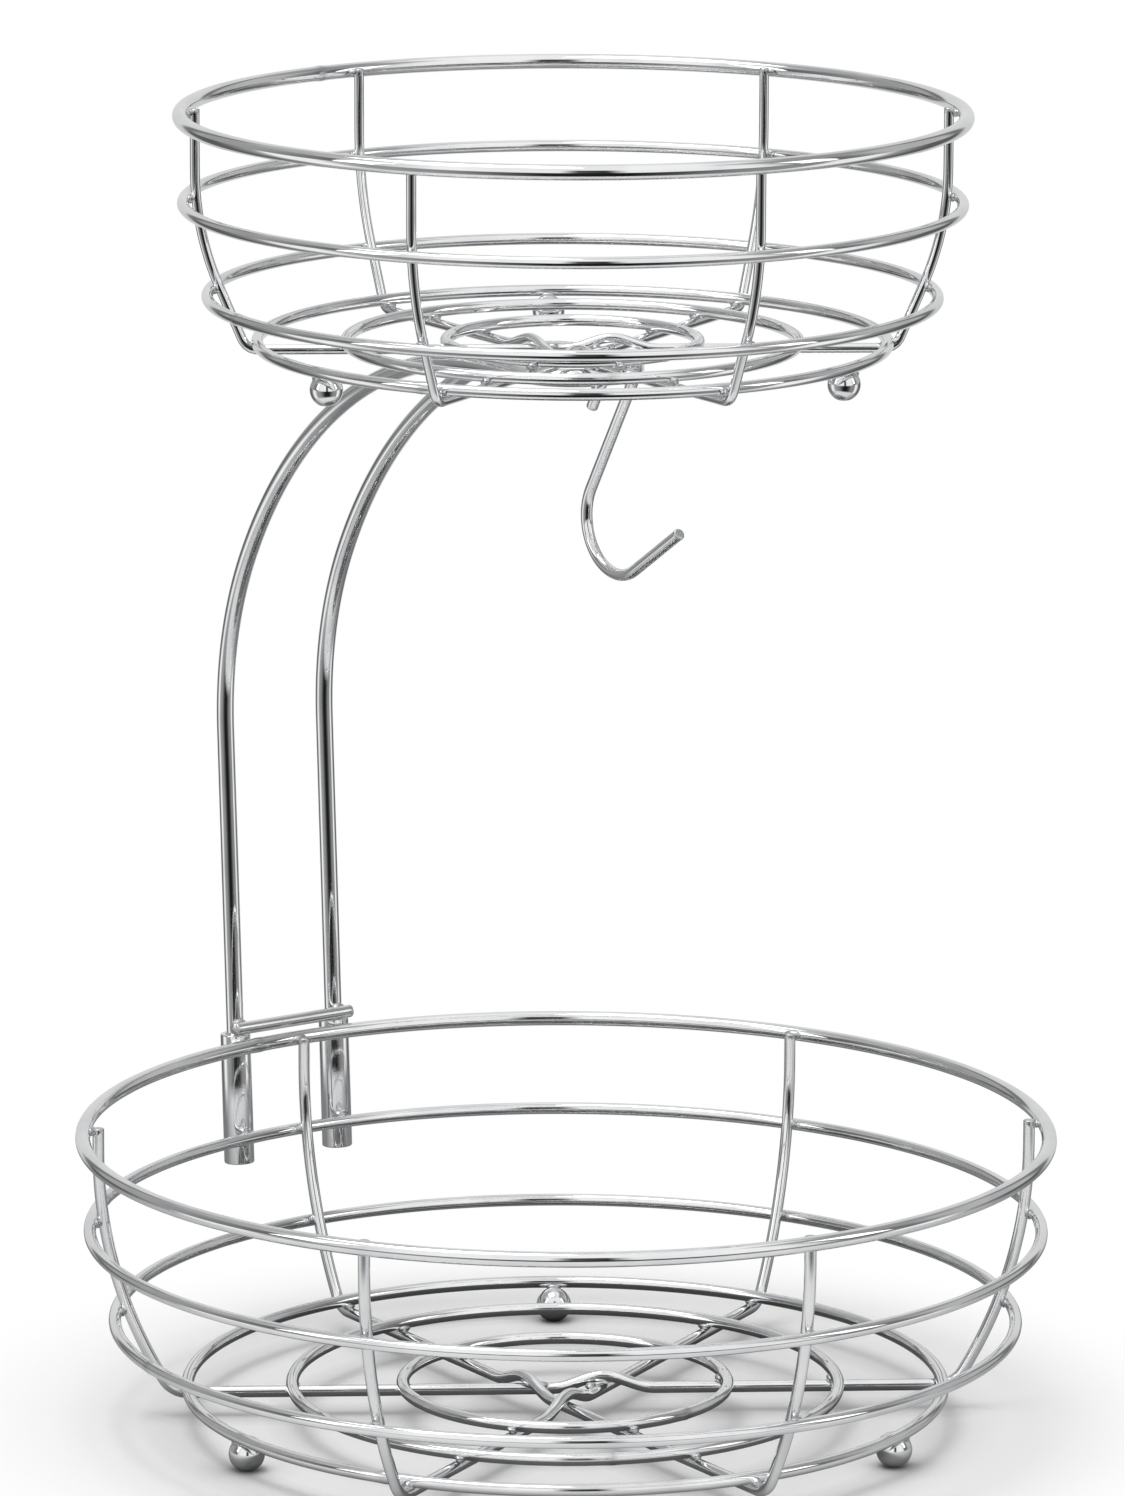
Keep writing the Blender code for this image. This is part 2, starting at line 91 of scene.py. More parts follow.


# Chrome plate. The tint drifts with a slow noise and the roughness with a finer one. Welds, cut
# ends and rubbed places are darker and duller, and so is painted shade given in the same
# attribute. The bump is drawing lines, noise stretched along the wire, over a slow ripple.
def chromeMaterial(name, gloss, lines, lineDepth, rippleDepth):
    material = bpy.data.materials.new(name)
    material.use_nodes = True
    tree = material.node_tree
    shader = tree.nodes["Principled BSDF"]
    shader.inputs["Metallic"].default_value = 1
    place = addNode(tree, "ShaderNodeTexCoord")
    patches = noise(tree, place.outputs["Object"], *chromeLook["patches"])
    tint = addNode(tree, "ShaderNodeMix", data_type="RGBA")
    tint.inputs["A"].default_value = chromeLook["tintLow"]
    tint.inputs["B"].default_value = chromeLook["tint"]
    link(tree, mapRange(tree, patches, *chromeLook["patchRange"], 0, 1), tint.inputs["Factor"])
    wearAndShade = addNode(tree, "ShaderNodeAttribute", attribute_name="wearAndShade")
    wearAndShadeMix = addNode(tree, "ShaderNodeMix", data_type="RGBA")
    wearAndShadeMix.inputs["B"].default_value = chromeLook["tintWornAndShaded"]
    wearAndShadeTint = mapRange(tree, wearAndShade.outputs["Fac"], 0, 1, 0, chromeLook["wearAndShadeTint"])
    link(tree, wearAndShadeTint, wearAndShadeMix.inputs["Factor"])
    link(tree, tint.outputs["Result"], wearAndShadeMix.inputs["A"])
    link(tree, wearAndShadeMix.outputs["Result"], shader.inputs["Base Color"])
    fine = noise(tree, place.outputs["Object"], *chromeLook["fine"])
    gathered = addNode(tree, "ShaderNodeMath", operation="MULTIPLY_ADD")
    gathered.inputs[1].default_value = chromeLook["wearAndShadeDull"]
    link(tree, wearAndShade.outputs["Fac"], gathered.inputs[0])
    smooth, rough = (gloss * share for share in chromeLook["glossRange"])
    link(tree, mapRange(tree, fine, *chromeLook["fineRange"], smooth, rough), gathered.inputs[2])
    link(tree, gathered.outputs[0], shader.inputs["Roughness"])
    stretch = addNode(tree, "ShaderNodeMapping")
    stretch.inputs["Scale"].default_value = lines
    link(tree, place.outputs["UV"], stretch.inputs["Vector"])
    drawn = addNode(tree, "ShaderNodeBump")
    drawn.inputs["Strength"].default_value = lineDepth
    drawn.inputs["Distance"].default_value = chromeLook["drawnHeight"]
    drawnNoise = noise(tree, stretch.outputs["Vector"], *chromeLook["drawn"])
    link(tree, drawnNoise, drawn.inputs["Height"])
    ripple = addNode(tree, "ShaderNodeBump")
    ripple.inputs["Strength"].default_value = rippleDepth
    ripple.inputs["Distance"].default_value = chromeLook["rippleHeight"]
    rippleNoise = noise(tree, place.outputs["Object"], *chromeLook["ripple"])
    link(tree, rippleNoise, ripple.inputs["Height"])
    link(tree, drawn.outputs["Normal"], ripple.inputs["Normal"])
    link(tree, ripple.outputs["Normal"], shader.inputs["Normal"])
    return material


# Each has its roughness, how often the drawing lines change along the wire and round it per
# metre, and the strengths of the lines and of the ripple.
wireChrome = chromeMaterial("wireChrome", 0.045, (9, 1100, 1), 0.06, 0.06)
rodChrome = chromeMaterial("rodChrome", 0.04, (6, 700, 1), 0.03, 0.012)
tubeChrome = chromeMaterial("tubeChrome", 0.055, (900, 40, 1), 0.06, 0.06)
ballChrome = chromeMaterial("ballChrome", 0.035, (300, 300, 1), 0.03, 0.05)
weldChrome = chromeMaterial("weldChrome", 0.1, (700, 700, 1), 0.3, 0.35)
print("materials ready")


# Mesh making

xAxis, zAxis = np.array([1.0, 0, 0]), np.array([0, 0, 1.0])
sharpAngle = np.radians(55)     # a crease stronger than this stays crisp
mergeGap = 1e-7                 # path points closer than this count as one
roundSteps = 6                  # stations in a rounded edge
endShares = (0.02, 0.5)         # inner loops of a wire's flat end, as shares of its radius
poleAngle = 0.02                # a ball's last loop stands this far from its pole, in radians


# A grid of points (along, around) becomes quads, with the round way closed and, where
# asked, the long way closed too. Open ends are shut by one polygon over the last loop.
def gridFaces(along, around, closedAlong):
    rows = np.arange(along if closedAlong else along - 1)
    columns = np.arange(around)
    row, column = np.meshgrid(rows, columns, indexing="ij")
    nextRow = (row + 1) % along
    nextColumn = (column + 1) % around
    quads = np.stack([row * around + column, nextRow * around + column,
                      nextRow * around + nextColumn, row * around + nextColumn], -1)
    return quads.reshape(-1, 4)


# Puts one or more grids of equal shape (pieces, along, around, 3) into one mesh object.
# The UV is in metres: distance along the wire and distance round it. The wear, with painted shade
# in it, is given by station along the wire, or by station and place round it.
def makePiece(name, grids, lengths, width, wearAndShade, closedAlong=False):
    count, along, around = grids.shape[:3]
    quads = gridFaces(along, around, closedAlong)
    offset = (np.arange(count) * along * around)[:, None, None]
    allQuads = (quads[None] + offset).reshape(-1, 4)
    faces = allQuads.tolist()
    if not closedAlong:
        first = np.arange(around)
        starts = (first[None] + offset[:, 0]).tolist()
        ends = (first[None, ::-1] + (along - 1) * around + offset[:, 0]).tolist()
        faces += starts + ends
    mesh = bpy.data.meshes.new(name)
    mesh.from_pydata(grids.reshape(-1, 3).tolist(), [], faces)
    loops = np.empty(len(mesh.loops), np.int64)
    mesh.loops.foreach_get("vertex_index", loops)
    inGrid = loops % (along * around)
    column = inGrid % around
    row = inGrid // around
    isQuad = np.arange(len(loops)) < len(allQuads) * 4
    corner = np.arange(len(loops)) % 4
    wrapped = isQuad & (corner >= 2) & (column == 0)     # the far side of the last column
    turned = closedAlong & isQuad & ((corner == 1) | (corner == 2)) & (row == 0)
    u = np.where(turned, lengths[-1] + lengths[1], lengths[row])
    v = (column + np.where(wrapped, around, 0)) / around * width
    layer = mesh.uv_layers.new(name="alongAround")
    layer.data.foreach_set("uv", np.stack([u, v], -1).astype(np.float32).ravel())
    mesh.attributes.new("wearAndShade", "FLOAT", "POINT")
    spread = np.tile(wearAndShade.ravel() if wearAndShade.ndim == 2 else np.repeat(wearAndShade, around), count)
    mesh.attributes["wearAndShade"].data.foreach_set("value", spread.astype(np.float32))
    mesh.shade_smooth()
    mesh.set_sharp_from_angle(angle=sharpAngle)
    piece = bpy.data.objects.new(name, mesh)
    bpy.context.scene.collection.objects.link(piece)
    return piece


def dress(piece, body, material, slotName, *nodes):
    piece.data.materials.append(material)
    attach(piece, body)
    if nodes:
        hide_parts(*nodes)


def unit(vectors):
    return vectors / np.linalg.norm(vectors, axis=-1, keepdims=True)


# Wire along any path: around each station a circle of the wire's radius, in the plane of two
# directions square to the path. The cut ends are flat with a rounded edge: the radius grows from
# nothing to r - edge at the end, then by a quarter circle to r. They are worn, by a bell curve
# twice as long as their rounding. A dark dull spot is a place on the wire, a point that its
# darkened side faces, a reach and an amount: it falls off along the wire by a bell curve and round
# it by the cosine from that side. On the stop bar such a spot is painted shade; on the hook it
# dulls the inside of the bend.
def wirePiece(name, path, sideways, radius, edge, stationStep, around, darkDullSpots=()):
    steps = np.linalg.norm(np.diff(path, axis=0), axis=1)
    keep = np.concatenate([[True], steps > mergeGap])
    path, sideways = path[keep], sideways[keep]
    travelled = np.concatenate([[0], np.cumsum(np.linalg.norm(np.diff(path, axis=0), axis=1))])
    total = travelled[-1]
    tangents = unit(np.gradient(path, travelled, axis=0))
    rounding = np.linspace(0, np.pi / 2, roundSteps)
    endStations = np.concatenate([[0, 0], edge * (1 - np.cos(rounding))])
    flatRadii = [radius * share for share in endShares]
    endRadii = np.concatenate([flatRadii, radius - edge + edge * np.sin(rounding)])
    inside = np.linspace(edge, total - edge, int(total / stationStep))[1:-1]
    stations = np.concatenate([endStations, inside, total - endStations[::-1]])
    radii = np.concatenate([endRadii, np.full(len(inside), radius), endRadii[::-1]])
    at = lambda rows: np.stack([np.interp(stations, travelled, values) for values in rows.T], -1)
    centre, tangent, side = at(path), unit(at(tangents)), at(sideways)
    side = unit(side - (side * tangent).sum(-1, keepdims=True) * tangent)
    other = np.cross(tangent, side)
    turn = 2 * np.pi * np.arange(around) / around
    circle = (np.cos(turn)[None, :, None] * side[:, None]
              - np.sin(turn)[None, :, None] * other[:, None])
    grid = centre[:, None] + radii[:, None, None] * circle
    fromEnd = np.minimum(stations, total - stations)
    wearAndShade = np.exp(-(fromEnd / (2 * edge)) ** 2)[:, None] + 0 * turn
    for spot, faced, reach, amount in darkDullSpots:
        station = travelled[np.linalg.norm(path - spot, axis=1).argmin()]
        facing = (circle * unit(faced - centre)[:, None]).sum(-1).clip(0, 1)
        wearAndShade += amount * np.exp(-((stations - station) / reach) ** 2)[:, None] * facing
    return makePiece(name, grid[None], stations, 2 * np.pi * radius, wearAndShade)


# Closed ring: a circle with a slow wobble in its radius, a sum of sines of a few waves a
# turn, and a smaller one in its height. Round it goes a circle of the wire's radius, which
# swells a little at the butt weld by a bell curve.
def ringPiece(name, centre, ringRadius, wireRadius, look, weldAngle):
    along = int(2 * np.pi * ringRadius / look["stationStep"])
    turn = 2 * np.pi * np.arange(along) / along
    fromWeld = (turn - weldAngle + np.pi) % (2 * np.pi) - np.pi
    bead = np.exp(-(fromWeld * ringRadius / look["weldLength"]) ** 2)
    wobble = sum(np.sin(k * turn + look["phase"] * k * weldAngle) / k for k in look["waves"])
    reach = ringRadius + look["wobble"] * wobble
    lift = look["wobble"] * look["liftShare"] * np.sin(look["liftWaves"] * turn + weldAngle)
    radii = wireRadius * (1 + look["weldSwell"] * bead)
    wireTurn = 2 * np.pi * np.arange(look["around"]) / look["around"]
    outward = reach[:, None] + radii[:, None] * np.cos(wireTurn)
    height = lift[:, None] + radii[:, None] * np.sin(wireTurn)
    x, y = outward * np.cos(turn)[:, None], outward * np.sin(turn)[:, None]
    grid = np.stack([x, y, height], -1)[None, :, ::-1] + centre
    return makePiece(name, grid, turn * ringRadius, 2 * np.pi * wireRadius, bead, True)


# Turned shape: a profile of (radius, height) carried round an axis, then tilted and placed.
# The profile runs from the bottom pole or lip up the outside.
def turnedPiece(name, profile, around, matrix, closedAlong=False):
    radius, height = profile.T
    turn = 2 * np.pi * np.arange(around) / around
    grid = np.stack([radius[:, None] * np.cos(turn), radius[:, None] * np.sin(turn),
                     np.repeat(height[:, None], around, 1)], -1)
    grid = grid @ np.array(matrix.to_3x3()).T + np.array(matrix.translation)
    lengths = np.concatenate([[0], np.cumsum(np.hypot(np.diff(radius), np.diff(height)))])
    width = 2 * np.pi * radius.max()
    return makePiece(name, grid[None, :, ::-1], lengths, width, 0 * lengths, closedAlong)


# Weld beads: ellipsoids, one at each contact, with a low ripple round them so that they
# look squeezed and not turned. centres, axes and sizes have one row per weld.
def beadPiece(name, centres, axes, sizes, look):
    polar = np.linspace(poleAngle, np.pi - poleAngle, look["rings"])[:, None]
    turn = 2 * np.pi * np.arange(look["around"])[None] / look["around"]
    ripple = 1 + look["ripple"] * np.sin(look["waves"] * turn) * np.sin(polar) ** 2
    ball = np.stack([np.sin(polar) * np.cos(turn) * ripple, np.sin(polar) * np.sin(turn) * ripple,
                     np.cos(polar) + 0 * turn], -1)
    scaled = ball[None] * np.array(sizes)[:, None, None, :]
    grid = np.einsum("kija,kab->kijb", scaled, np.array(axes)) + np.array(centres)[:, None, None]
    lengths = polar[:, 0] * look["uvLength"]
    return makePiece(name, grid, lengths, look["uvWidth"], np.ones(len(lengths)))


# Axes of a bead between two wires: along the first one, across it, and from wire to wire
def beadAxes(across, alongWire):
    across = unit(across)
    along = unit(alongWire - (alongWire * across).sum() * across)
    return np.stack([along, np.cross(across, along), across])


# The bowls

bowlLook = {
    "stationStep": 1.6 * mm, "around": 20, "wireEdge": 0.35 * mm,
    "wobble": 0.06 * mm, "waves": (2, 3, 5), "phase": 2.1, "liftShare": 0.5, "liftWaves": 3,
    "firstWeld": 96, "nextWeld": 37,    # degrees to the rim's butt weld, then to the next ring's
    "weldLength": 1.4 * mm, "weldSwell": 0.07,
    "bendSteps": 40, "sideSteps": 60, "weaveSteps": 41,
    "ringSamples": 720, "spanSamples": 10,      # for finding where a ring meets a rib
    "ballSteps": 22, "ballAround": 40, "footFlat": 0.4 * mm,
    "flatStart": 0.01, "flatLoops": (0.6, 0.96),    # shares of the ball, then of the flat's edge
    "footBead": (2.3 * mm, 1.9 * mm, 0.95 * mm),
}
beadLook = {
    "rings": 12, "around": 16, "ripple": 0.08, "waves": 3,
    "uvLength": 1 * mm, "uvWidth": 6 * mm,      # per radian from pole to pole, and once round
}

# "upright" is the height over the feet where a rib's side bend has come to vertical. Bead
# sizes are half lengths along the ring, across it, and from wire to wire.
lowerBowl = {
    "prefix": "lower", "body": "lower_bowl", "ribWire": 3.6 * mm, "ribOffset": 7 * mm,
    "sideRadius": 140 * mm, "upright": 83 * mm, "flank": np.radians(60), "footBend": 8.6 * mm,
    "weaveRun": 16 * mm, "overRim": 1 * mm, "rimFlats": 52,
    "bead": (2.1 * mm, 1.6 * mm, 1.1 * mm), "rimBead": (2.7 * mm, 1.5 * mm, 1.3 * mm),
}
upperBowl = {
    "prefix": "upper", "body": "upper_bowl", "ribWire": 3.0 * mm, "ribOffset": 7 * mm,
    "sideRadius": 90 * mm, "upright": 61.1 * mm, "flank": np.radians(67), "footBend": 5 * mm,
    "weaveRun": 14 * mm, "overRim": 1 * mm, "rimFlats": 52,
    "bead": (1.8 * mm, 1.4 * mm, 1.0 * mm), "rimBead": (2.4 * mm, 1.4 * mm, 1.2 * mm),
}
ribEndAngles = np.radians([180, -60, 60])      # counted from the front
ringKinds = ("rim", "middle_ring", "low_ring", "base_ring", "inner_ring", "centre_ring")
seatGap = 0.3 * mm


# A ring's centre, radius and half wire, read from the frame
def ringOf(node):
    low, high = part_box(node)
    wire = (high.z - low.z) / 2
    centre = (np.array(low) + np.array(high)) / 2
    return centre, (high.x - low.x) / 2 - wire, wire


# The ribs stand inside the rim and under the base ring, each clear by the seat gap
def fitBowl(bowl):
    rimCentre, rimRadius, rimWire = ringOf(bowl["prefix"] + "_rim")
    baseCentre, _, baseWire = ringOf(bowl["prefix"] + "_base_ring")
    bowl["footPlane"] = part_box(bowl["prefix"] + "_foot_a")[0].z
    flats = rimRadius * np.cos(np.pi / bowl["rimFlats"])
    rib = bowl["ribWire"] / 2
    bowl["sideReach"] = np.sqrt(flats**2 - bowl["ribOffset"] ** 2) - rimWire - rib - seatGap
    bowl["floorHeight"] = baseCentre[2] - bowl["footPlane"] - baseWire - rib - seatGap
    bowl["ribTop"] = rimCentre[2] - bowl["footPlane"] + bowl["overRim"]
    bowl["centre"] = np.array([rimCentre[0], rimCentre[1], bowl["footPlane"]])


# Bend: points at centre + radius * (sin heading, -cos heading)
def bend(centre, radius, start, end, steps):
    heading = np.linspace(start, end, steps)
    across, up = centre
    return np.stack([across + radius * np.sin(heading), up - radius * np.cos(heading)], -1)


# One rib's outline in its own plane: floor run with a cosine rise where it crosses the
# next rib, foot bend, straight flank, side bend, straight end. The left half mirrors it.
def ribOutline(bowl):
    floor, flank = bowl["floorHeight"], bowl["flank"]
    sideCentre = (bowl["sideReach"] - bowl["sideRadius"], bowl["upright"])
    side = bend(sideCentre, bowl["sideRadius"], flank, np.pi / 2, bowlLook["sideSteps"])
    bendEnd = floor + bowl["footBend"] * (1 - np.cos(flank))
    flankRun = (side[0, 1] - bendEnd) / np.tan(flank)
    floorReach = side[0, 0] - flankRun - bowl["footBend"] * np.sin(flank)
    footCentre = (floorReach, floor + bowl["footBend"])
    foot = bend(footCentre, bowl["footBend"], 0, flank, bowlLook["bendSteps"])
    half = np.concatenate([foot, side, [[bowl["sideReach"], bowl["ribTop"]]]])
    share = np.linspace(-1, 1, bowlLook["weaveSteps"])
    rise = (bowl["ribWire"] + seatGap) * (1 + np.cos(np.pi * share)) / 2
    crossing = bowl["ribOffset"] * np.tan(np.pi / 3)
    weave = np.stack([crossing + bowl["weaveRun"] * share, floor + rise], -1)
    return np.concatenate([half[::-1] * (-1, 1), weave, half])


# The outline stands in the plane at ribOffset from the axis, turned to its end angle
def ribPath(bowl, angle):
    outline = ribOutline(bowl)
    turn = angle - np.pi / 2 - np.arcsin(bowl["ribOffset"] / bowl["sideReach"])
    along = np.array([np.cos(turn), np.sin(turn), 0])
    across = np.array([-np.sin(turn), np.cos(turn), 0])
    path = outline[:, :1] * along + bowl["ribOffset"] * across
    path[:, 2] += outline[:, 1]
    return path + bowl["centre"], across


def buildRings(bowl):
    rings = {}
    for place, kind in enumerate(ringKinds):
        node = bowl["prefix"] + "_" + kind
        centre, radius, wire = ringOf(node)
        weldAngle = np.radians(bowlLook["firstWeld"] + bowlLook["nextWeld"] * place)
        piece = ringPiece(node + "Wire", centre, radius - bowlLook["wobble"], wire,
                          bowlLook, weldAngle)
        slotName = "rim_wire" if kind == "rim" else "ring_wire"
        dress(piece, bowl["body"], wireChrome, slotName, node)
        rings[kind] = (centre, radius, wire)
    return rings


def buildRibs(bowl):
    paths = []
    for letter, angle in zip("abc", ribEndAngles):
        path, across = ribPath(bowl, angle)
        node = bowl["prefix"] + "_rib_" + letter
        sideways = np.repeat(across[None], len(path), 0)
        piece = wirePiece(node + "Wire", path, sideways, bowl["ribWire"] / 2,
                          bowlLook["wireEdge"], bowlLook["stationStep"], bowlLook["around"])
        dress(piece, bowl["body"], wireChrome, "rib_wire", node)
        paths.append(path)
    return paths


# Contact of a ring with one half of a rib: the ring is sampled as a circle, the rib as its
# path, and the closest pair gives the bead's centre and its axes.
def ringContacts(ring, paths, size):
    centre, radius, wire = ring
    turn = np.linspace(0, 2 * np.pi, bowlLook["ringSamples"])
    circle = centre + radius * np.stack([np.cos(turn), np.sin(turn), 0 * turn], -1)
    shares = np.linspace(0, 1, bowlLook["spanSamples"], endpoint=False)
    found = []
    for path in paths:
        middle = len(path) // 2
        for half in (path[:middle], path[middle:]):
            dense = np.concatenate([half[:-1] + np.diff(half, axis=0) * share for share in shares])
            gaps = ((dense[None] - circle[:, None]) ** 2).sum(-1)
            ringIndex, ribIndex = np.unravel_index(gaps.argmin(), gaps.shape)
            onRing, onRib = circle[ringIndex], dense[ribIndex]
            across = onRing - onRib
            contact = onRing - unit(across) * (wire + seatGap / 2)
            tangent = np.cross(zAxis, onRing - centre)
            found.append((contact, beadAxes(across, tangent), size))
    return found


# Where two ribs cross: the point shared by their straight floor runs, seen from above
def crossContacts(bowl, paths):
    found = []
    for first, second in ((0, 1), (1, 2), (2, 0)):
        a, b = paths[first], paths[second]
        gaps = ((a[:, None, :2] - b[None, :, :2]) ** 2).sum(-1)
        i, j = np.unravel_index(gaps.argmin(), gaps.shape)
        found.append(((a[i] + b[j]) / 2, beadAxes(zAxis, a[i + 1] - a[i]), bowl["bead"]))
    return found


# Ball foot: loops over its flat, then an arc round the outside to the top pole
def ballProfile(radius, flatDepth):
    flatAngle = np.arccos((radius - flatDepth) / radius)
    polar = np.linspace(flatAngle, np.pi - poleAngle, bowlLook["ballSteps"])
    arc = np.stack([radius * np.sin(polar), -radius * np.cos(polar)], -1)
    edge, height = arc[0]
    loops = [radius * bowlLook["flatStart"]] + [edge * share for share in bowlLook["flatLoops"]]
    return np.concatenate([[(loop, height) for loop in loops], arc[1:]])


def buildFeet(bowl, baseRing):
    beads = []
    centre, radius, _ = baseRing
    flatDepth = bowlLook["footFlat"]
    for letter in "abc":
        node = bowl["prefix"] + "_foot_" + letter
        low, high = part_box(node)
        ball = (high.z - low.z + flatDepth) / 2
        place = np.array([(low.x + high.x) / 2, (low.y + high.y) / 2, high.z - ball])
        piece = turnedPiece(node + "Ball", ballProfile(ball, flatDepth), bowlLook["ballAround"],
                            Matrix.Translation(place))
        dress(piece, bowl["body"], ballChrome, "ball_foot", node)
        outward = unit((place - centre) * (1, 1, 0))
        across = centre + outward * radius - place
        contact = place + unit(across) * (ball + seatGap / 2)
        axes = beadAxes(across, np.cross(zAxis, outward))
        beads.append((contact, axes, bowlLook["footBead"]))
    return beads


def buildBowl(bowl, moreBeads=()):
    fitBowl(bowl)
    rings = buildRings(bowl)
    paths = buildRibs(bowl)
    beads = buildFeet(bowl, rings["base_ring"]) + crossContacts(bowl, paths) + list(moreBeads)
    for kind in ringKinds:
        beads += ringContacts(rings[kind], paths, bowl["rimBead" if kind == "rim" else "bead"])
    centres, axes, sizes = zip(*beads)
    piece = beadPiece(bowl["prefix"] + "Welds", centres, axes, sizes, beadLook)
    dress(piece, bowl["body"], weldChrome, "ring_wire")
    print(bowl["prefix"], "bowl:", len(rings), "rings,", len(paths), "ribs,", len(beads), "welds")


# The stand

stand = {
    "rod": 5.5 * mm, "spacing": 37.7 * mm, "armHeight": 328 * mm, "armFront": 21 * mm,
    "lean": np.radians(2.8), "endRise": 1 * mm,
    "upperBend": 150 * mm, "lowerBend": 110 * mm, "bendChange": np.radians(62),
    "edge": 0.6 * mm, "around": 28, "stationStep": 1.5 * mm,
    "upperSteps": 80, "lowerSteps": 60, "noseSteps": 60,
}
sleeve = {
    "outer": 9.6 * mm, "over": 3 * mm, "length": 42 * mm, "lip": 0.45 * mm, "around": 40,
    "rimBead": (2.6 * mm, 2.1 * mm, 1.3 * mm), "middleBead": (2.3 * mm, 1.7 * mm, 1.5 * mm),
    "middleOut": 0.6 * mm,                  # how far outside the tube that lower bead is centred
}
stopBar = {
    "edge": 0.5 * mm, "around": 20, "stationStep": 0.8 * mm, "pathSteps": 30,
    "bead": (2.5 * mm, 2.7 * mm, 1.4 * mm), "nugget": (2.5 * mm, 2.45 * mm, 2.4 * mm),
    "nuggetIn": 1.6 * mm,                   # from the bar's end
    "nuggetBack": 1 / 3,                    # of the way behind the bar to the other two welds
    "paintedFrontShade": 1.0, "paintedFrontShadeReach": 34 * mm,   # painted shade: how dark and dull the bar's front is, and how far along
}


# The rod in side view, from the arm back and down: centre + radius * (sin turn, cos turn),
# first with the large radius, then with the small one to just past upright.
def rodOutline(rimDepth, rimHeight):
    large, small, change = stand["upperBend"], stand["lowerBend"], stand["bendChange"]
    turn = np.linspace(0, change, stand["upperSteps"])
    upper = np.stack([large * np.sin(turn), stand["armHeight"] - large + large * np.cos(turn)], -1)
    centre = upper[-1] - small * np.array([np.sin(change), np.cos(change)])
    turn = np.linspace(change, np.pi / 2 + stand["lean"], stand["lowerSteps"])
    lower = centre + small * np.stack([np.sin(turn), np.cos(turn)], -1)
    outline = np.concatenate([upper, lower[1:]])
    endDepth, endHeight = outline[-1]
    outline[:, 0] += rimDepth - endDepth + (endHeight - rimHeight) * np.tan(stand["lean"])
    return outline


# Where the stand meets the bowl: the sleeves touch the rim from outside, and lean with it
def standPlaces(rim):
    centre, radius, wire = rim
    reach = radius + wire + seatGap + sleeve["outer"] / 2
    depth = np.sqrt(reach**2 - (stand["spacing"] / 2) ** 2)
    axis = np.array([0, np.sin(stand["lean"]), np.cos(stand["lean"])])
    ahead = np.array([0, -np.cos(stand["lean"]), np.sin(stand["lean"])])
    rimPoint = np.array([0, depth, centre[2]])
    return {"origin": np.array([0, centre[1], 0]), "axis": axis, "ahead": ahead, "depth": depth,
            "rimHeight": centre[2], "sleeveTop": rimPoint + axis * sleeve["over"]}


# Up the right post, over its arm, round the nose under the bowl and back down the left side
def buildRod(places):
    half = stand["spacing"] / 2
    outline = rodOutline(places["depth"], places["rimHeight"])[::-1]
    foot = places["sleeveTop"] - places["axis"] * (sleeve["length"] - stand["endRise"])
    outline = np.concatenate([[foot[1:]], outline])
    turn = np.linspace(0, np.pi, stand["noseSteps"])
    nose = np.stack([half * np.cos(turn), half - stand["armFront"] - half * np.sin(turn),
                     np.full(len(turn), stand["armHeight"])], -1)
    right = np.column_stack([np.full(len(outline), half), outline])
    left = right[::-1] * (-1, 1, 1)
    path = np.concatenate([right, nose, left]) + places["origin"]
    outward = np.stack([np.cos(turn), -np.sin(turn), 0 * turn], -1)
    sideways = np.concatenate([np.tile(xAxis, (len(right), 1)), outward,
                               np.tile(-xAxis, (len(left), 1))])
    piece = wirePiece("standRodBent", path, sideways, stand["rod"] / 2, stand["edge"],
                      stand["stationStep"], stand["around"])
    dress(piece, "stand", rodChrome, "stand", "stand_rod")


# A closed profile round the tube's wall, its lips rounded
def sleeveProfile(outer, inner, length, edge):
    turn = np.linspace(0, np.pi / 2, roundSteps)

    def corner(radius, height, start):
        heading = turn + start
        return np.stack([radius + edge * np.cos(heading), height + edge * np.sin(heading)], -1)

    return np.concatenate([
        corner(outer - edge, edge - length, -np.pi / 2), corner(outer - edge, -edge, 0),
        corner(inner + edge, -edge, np.pi / 2), corner(inner + edge, edge - length, np.pi)])


# Each tube is welded to the rim, and to the middle ring lower down
def buildSleeves(places):
    outer, inner = sleeve["outer"] / 2, stand["rod"] / 2 + seatGap
    profile = sleeveProfile(outer, inner, sleeve["length"], sleeve["lip"])
    lean = Matrix.Rotation(-stand["lean"], 4, "X")
    middleHeight = ringOf("lower_middle_ring")[0][2]
    welds = ((places["rimHeight"], seatGap / 2, sleeve["rimBead"]),
             (middleHeight, sleeve["middleOut"], sleeve["middleBead"]))
    beads = []
    for name, side in (("left", -1), ("right", 1)):
        top = places["origin"] + places["sleeveTop"] + side * stand["spacing"] / 2 * xAxis
        node = "sleeve_" + name
        piece = turnedPiece(node + "Tube", profile, sleeve["around"],
                            Matrix.Translation(top) @ lean, closedAlong=True)
        dress(piece, "lower_bowl", tubeChrome, "sleeve", node)
        onAxis = lambda height: top - places["axis"] * (top[2] - height)
        outward = unit((onAxis(places["rimHeight"]) - places["origin"]) * (1, 1, 0))
        axes = beadAxes(outward, np.cross(zAxis, outward))
        for height, out, size in welds:
            beads.append((onAxis(height) - outward * (outer + out), axes, size))
    return beads


